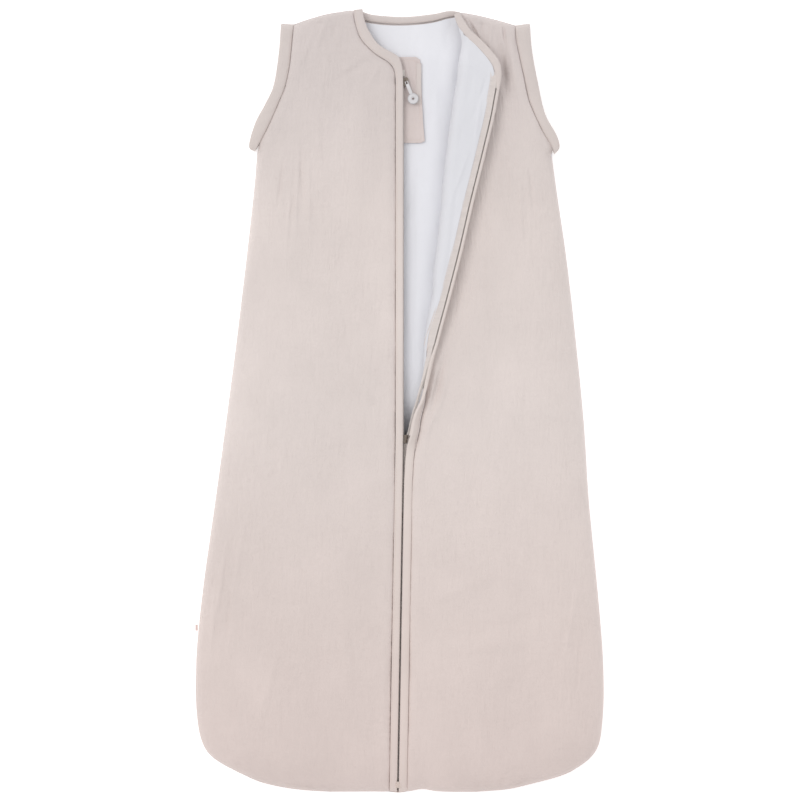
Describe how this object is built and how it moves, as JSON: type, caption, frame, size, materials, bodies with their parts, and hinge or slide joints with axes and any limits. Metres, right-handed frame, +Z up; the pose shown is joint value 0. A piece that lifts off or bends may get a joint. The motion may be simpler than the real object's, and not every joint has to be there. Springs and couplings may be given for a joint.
{
  "type": "baby sleeping bag",
  "caption": "Sleeveless quilted baby sleeping bag with a two-slider front zip, lying on its back with one half of the front folded open",
  "frame": {"origin": "the middle of the bounding box, at floor level, under the bag as it lies on its back", "axes": "+X to the viewer's right, +Y from the hem to the neck, +Z up out of the front of the bag"},
  "size_m": [0.47, 0.9, 0.0499],
  "materials": {
    "muslin": "crinkled double gauze, matt",
    "wadding": "soft fibre filling, hidden",
    "lining": "smooth fine woven cotton, matt",
    "bias": "folded bias strip of fine cotton, matt",
    "tape": "woven zip tape, slight sheen",
    "coil": "satin nylon",
    "slider_metal": "dark satin",
    "pull_plastic": "soft satin",
    "guard": "folded muslin",
    "label": "satin ribbon"
  },
  "bodies": {
    "bag": {"back_outer": "muslin", "front_left_outer": "muslin", "front_right_outer": "muslin", "back_wadding": "wadding", "front_left_wadding": "wadding", "front_right_wadding": "wadding", "back_lining": "lining", "front_left_lining": "lining", "front_right_lining": "lining", "neck_binding_back": "bias", "left_front_binding": "bias", "right_zip_binding": "bias", "armhole_band_left_front": "bias", "armhole_band_left_back": "bias", "armhole_band_right_front": "bias", "armhole_band_right_back": "bias", "left_zip_tape": "tape", "right_zip_tape": "tape", "left_coil": "coil", "right_coil": "coil", "zip_bottom_stop": "coil", "zip_retainer_box": "coil", "chin_guard": "guard", "side_label": "label"},
    "flap": {"flap_outer": "muslin", "flap_wadding": "wadding", "flap_lining": "lining", "flap_binding": "bias", "flap_zip_tape": "tape", "flap_coil": "coil", "zip_insertion_pin": "coil"},
    "upper_slider": {"upper_slider_body": "slider_metal"},
    "upper_pull": {"upper_pull_tab": "pull_plastic"},
    "lower_slider": {"lower_slider_body": "slider_metal"},
    "lower_pull": {"lower_pull_tab": "slider_metal"}
  },
  "joints": [
    {"name": "flap_fold", "type": "hinge", "parent": "bag", "child": "flap", "pos_m": [0.04078, 0.2, 0.034], "axis": [0.1173, 0.9928, -0.0248], "range_deg": [-135, 0]},
    {"name": "upper_slider_slide", "type": "slide", "parent": "bag", "child": "upper_slider", "axis": [0, -0.9997, 0.025], "range_m": [0, 0.25]},
    {"name": "upper_pull_swing", "type": "hinge", "parent": "upper_slider", "child": "upper_pull", "pos_m": [0.0078, 0.36615, 0.02385], "axis": [-0.9272, -0.3745, 0.0094], "range_deg": [0, 140]},
    {"name": "lower_slider_slide", "type": "slide", "parent": "bag", "child": "lower_slider", "axis": [-0.0174, -0.9998, 0], "range_m": [0, 0.35]},
    {"name": "lower_pull_swing", "type": "hinge", "parent": "lower_slider", "child": "lower_pull", "pos_m": [0.00513, -0.044, 0.0274], "axis": [0.9998, -0.0174, 0], "range_deg": [-70, 70]}
  ]
}
